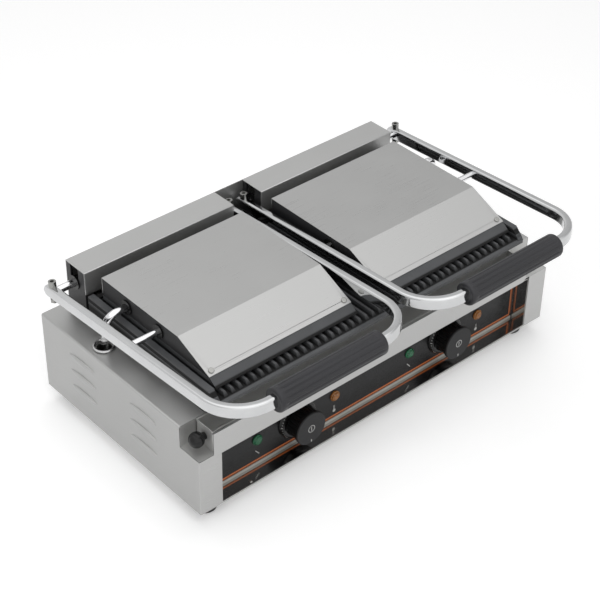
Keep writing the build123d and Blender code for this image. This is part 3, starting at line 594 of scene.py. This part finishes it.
def panel_print():
    y0, y1 = FILM_Y - 0.06, FILM_Y + 0.02
    lines = []
    for z, w in ((8.6, 2.3), (7.3, 0.5), (70.4, 2.3), (73.2, 0.5)):
        lines.append(box_mesh("line", -248.0, 248.0, y0, y1, z, z + w))
    for x, w in ((-248.0, 1.9), (246.1, 1.9), (-249.6, 0.5), (249.1, 0.5)):
        lines.append(box_mesh("line", x, x + w, y0, y1, 10.2, 70.8))
    piece("panel_border", merge("panel_border", lines), PRINT_ORANGE, "base", smooth=False)
    margin = box_mesh("panel_margin", -251.0, 251.0, y0, y1, LINER_Z + 0.02, 6.4)
    piece("panel_margin", margin, BARE_EDGE, "base", smooth=False)
    marks = []
    for sx in (-1, 1):
        x = sx * DIAL_X - LAMP_DX
        corners = ((-3.2, 16.2), (-1.9, 16.2), (3.6, 23.0), (2.3, 23.0))
        stroke = [at(x + dx, y0, DIAL_Z - drop) for dx, drop in corners]
        marks.append(rings("mark", [stroke, [v + Vector((0, INK * MM, 0)) for v in stroke]]))
        x = sx * DIAL_X + LAMP_DX
        for dx in (-1.1, 0.6):
            marks.append(box_mesh("mark", x + dx, x + dx + 0.5, y0, y1, DIAL_Z - 22.0, DIAL_Z - 15.2))
        marks.append(turned("mark", [(0.01, y0), (2.3, y0), (2.3, y1), (0.01, y1)],
                            at(x, 0, DIAL_Z - 23.2), "Y", 24))
    piece("panel_marks", merge("panel_marks", marks), PRINT_WHITE, "base", smooth=False)


TICK_FACES = ((0, 1, 2, 3), (4, 5, 6, 7), (0, 1, 5, 4), (1, 2, 6, 5), (2, 3, 7, 6), (3, 0, 4, 7))


def dial_ticks():
    """Long and short ticks on the sloping skirt of each bezel."""
    r0, y_in, r1, y_out = 25.5, 16.5, 28.0, 20.5
    slope = Vector((r1 - r0, y_out - y_in)).normalized()
    for side, sx in (("left", -1), ("right", 1)):
        ticks = []
        for i in range(31):
            a = math.radians(225 - 9 * i)
            long = i % 5 == 0
            length = 2.4 if long else 1.5
            ca, sa = math.cos(a), math.sin(a)
            tangent = Vector((-sa, 0, ca))
            radial = Vector((ca, 0, sa))
            along = radial * slope.x + Vector((0, 1, 0)) * slope.y
            normal = radial * slope.y - Vector((0, 1, 0)) * slope.x
            foot = at(sx * DIAL_X, y_in, DIAL_Z) + radial * r0 * MM
            start = foot + normal * 0.03 * MM + along * 0.15 * MM
            w = (0.35 if long else 0.22) * MM
            end = start + along * length * MM
            low = normal * 0.06 * MM
            wide = tangent * w
            verts = [start - wide - low, start + wide - low, end + wide - low, end - wide - low]
            verts += [v + low * 1.3 for v in verts]
            ticks.append(mesh_of("tick", verts, TICK_FACES))
        name = "dial_ticks_" + side
        piece(name, merge(name, ticks), PRINT_WHITE, "base", smooth=False)


def knob_face(side, sx):
    y = -5.0
    x = sx * DIAL_X
    ring = rings("ring", [[at(x + r * math.cos(a), d, DIAL_Z + r * math.sin(a)) for a in
                           [math.tau * i / 48 for i in range(48)]] for r, d in
                          ((4.3, y), (4.3, y - 0.08), (5.1, y - 0.08), (5.1, y))], close_ends=False)
    bar = box_mesh("bar", x - 0.45, x + 0.45, y - 0.08, y + 0.02, DIAL_Z - 3.0, DIAL_Z + 3.0)
    pointer = box_mesh("pointer", x - 0.6, x + 0.6, y - 0.08, y + 0.02, DIAL_Z - 19.8, DIAL_Z - 16.4)
    name = "knob_print_" + side
    piece(name, merge(name, [ring, bar, pointer]), PRINT_WHITE, side + "_knob", smooth=False)


panel_print()
dial_ticks()
for side_name, sign in (("left", -1), ("right", 1)):
    knob_face(side_name, sign)


# Studio

LAMP_TARGET = (0, 0, 0.1)
CAMERA_PLACE = (-1.06745, -1.15856, 1.30675)
CAMERA_AZIMUTH, CAMERA_ELEVATION, CAMERA_ROLL = -41.804, 37.040, 0.897
CAMERA_LENS, CAMERA_SENSOR = 95.92, 36.0
FLOOR_HALF, FLOOR_GLOW = 6, 0.30

def studio():
    floor = bpy.data.meshes.new("floor")
    h = FLOOR_HALF
    floor.from_pydata([(-h, -h, 0), (h, -h, 0), (h, h, 0), (-h, h, 0)], [], [(0, 1, 2, 3)])
    obj = bpy.data.objects.new("floor", floor)
    bpy.context.scene.collection.objects.link(obj)
    m, t, bsdf = tree("floor")
    bsdf.inputs["Base Color"].default_value = (0.86, 0.86, 0.86, 1)
    bsdf.inputs["Roughness"].default_value = 0.9
    bsdf.inputs["Specular IOR Level"].default_value = 0.1
    bsdf.inputs["Emission Color"].default_value = (1, 1, 1, 1)
    rays = add(t, "ShaderNodeLightPath")
    seen = join(t, "MAXIMUM", rays.outputs["Is Camera Ray"],
                join(t, "MAXIMUM", rays.outputs["Is Glossy Ray"], rays.outputs["Is Transmission Ray"]))
    t.links.new(join(t, "MULTIPLY", seen, FLOOR_GLOW), bsdf.inputs["Emission Strength"])
    floor.materials.append(m)


def world():
    """White to the camera; reflections see a bright ceiling, a brighter front and a darker right."""
    w = bpy.data.worlds.new("studio")
    bpy.context.scene.world = w
    w.use_nodes = True
    t = w.node_tree
    t.nodes.clear()
    out = t.nodes.new("ShaderNodeOutputWorld")
    coord = add(t, "ShaderNodeTexCoord")
    split = add(t, "ShaderNodeSeparateXYZ")
    t.links.new(coord.outputs["Generated"], split.inputs["Vector"])
    ramp = add(t, "ShaderNodeValToRGB")
    stops = ((0.0, 0.90), (0.30, 0.84), (0.64, 0.80), (0.82, 1.40), (1.0, 1.45))
    while len(ramp.color_ramp.elements) < len(stops):
        ramp.color_ramp.elements.new(0.5)
    for e, (pos, v) in zip(ramp.color_ramp.elements, stops):
        e.position = pos
        e.color = (v / 2, v / 2, v / 2, 1)
    t.links.new(split.outputs["Z"], ramp.inputs["Fac"])
    front = remap(t, split.outputs["Y"], 0.25, 0.0, -0.75, -0.1)
    right = remap(t, split.outputs["X"], 0.04, -0.10, 0.35, 0.75)
    total = join(t, "ADD", ramp.outputs["Color"], join(t, "ADD", front, right))
    mirror = t.nodes.new("ShaderNodeBackground")
    mirror.inputs["Strength"].default_value = 2.0
    t.links.new(total, mirror.inputs["Color"])
    ambient = t.nodes.new("ShaderNodeBackground")
    ambient.inputs["Color"].default_value = (1, 1, 1, 1)
    ambient.inputs["Strength"].default_value = 0.40
    white = t.nodes.new("ShaderNodeBackground")
    white.inputs["Color"].default_value = (1, 1, 1, 1)
    rays = add(t, "ShaderNodeLightPath")
    glossy = t.nodes.new("ShaderNodeMixShader")
    camera = t.nodes.new("ShaderNodeMixShader")
    see = join(t, "MAXIMUM", rays.outputs["Is Glossy Ray"], rays.outputs["Is Transmission Ray"])
    t.links.new(see, glossy.inputs["Fac"])
    t.links.new(ambient.outputs[0], glossy.inputs[1])
    t.links.new(mirror.outputs[0], glossy.inputs[2])
    t.links.new(rays.outputs["Is Camera Ray"], camera.inputs["Fac"])
    t.links.new(glossy.outputs[0], camera.inputs[1])
    t.links.new(white.outputs[0], camera.inputs[2])
    t.links.new(camera.outputs[0], out.inputs["Surface"])


def area(name, place, size, power):
    """Soft lamp above the object, left out of reflections."""
    light = bpy.data.lights.new(name, "AREA")
    light.shape = "RECTANGLE"
    light.size, light.size_y = size
    light.energy = power
    obj = bpy.data.objects.new(name, light)
    bpy.context.scene.collection.objects.link(obj)
    obj.location = place
    obj.rotation_mode = "QUATERNION"
    obj.rotation_quaternion = (Vector(LAMP_TARGET) - Vector(place)).to_track_quat("-Z", "Y")
    obj.visible_glossy = False


def camera():
    data = bpy.data.cameras.new("camera")
    obj = bpy.data.objects.new("camera", data)
    bpy.context.scene.collection.objects.link(obj)
    bpy.context.scene.camera = obj
    a, e, roll = (math.radians(v) for v in (CAMERA_AZIMUTH, CAMERA_ELEVATION, CAMERA_ROLL))
    back = Vector((math.sin(a) * math.cos(e), -math.cos(a) * math.cos(e), math.sin(e)))
    right = Vector((math.cos(a), math.sin(a), 0))
    up = back.cross(right)
    right, up = (right * math.cos(roll) + up * math.sin(roll), up * math.cos(roll) - right * math.sin(roll))
    turn = Matrix((right, up, back)).transposed().to_4x4()
    obj.matrix_world = Matrix.Translation(CAMERA_PLACE) @ turn
    data.sensor_width = CAMERA_SENSOR
    data.lens = CAMERA_LENS
    data.clip_start = 0.01


studio()
world()
area("key", (-0.9, -1.3, 2.2), (1.6, 1.2), 21)
area("top", (0.3, 0.5, 2.4), (2.2, 1.6), 19)
area("side", (-2.2, 0.4, 1.2), (1.2, 1.2), 7)
camera()
bpy.context.scene.view_settings.view_transform = "Standard"
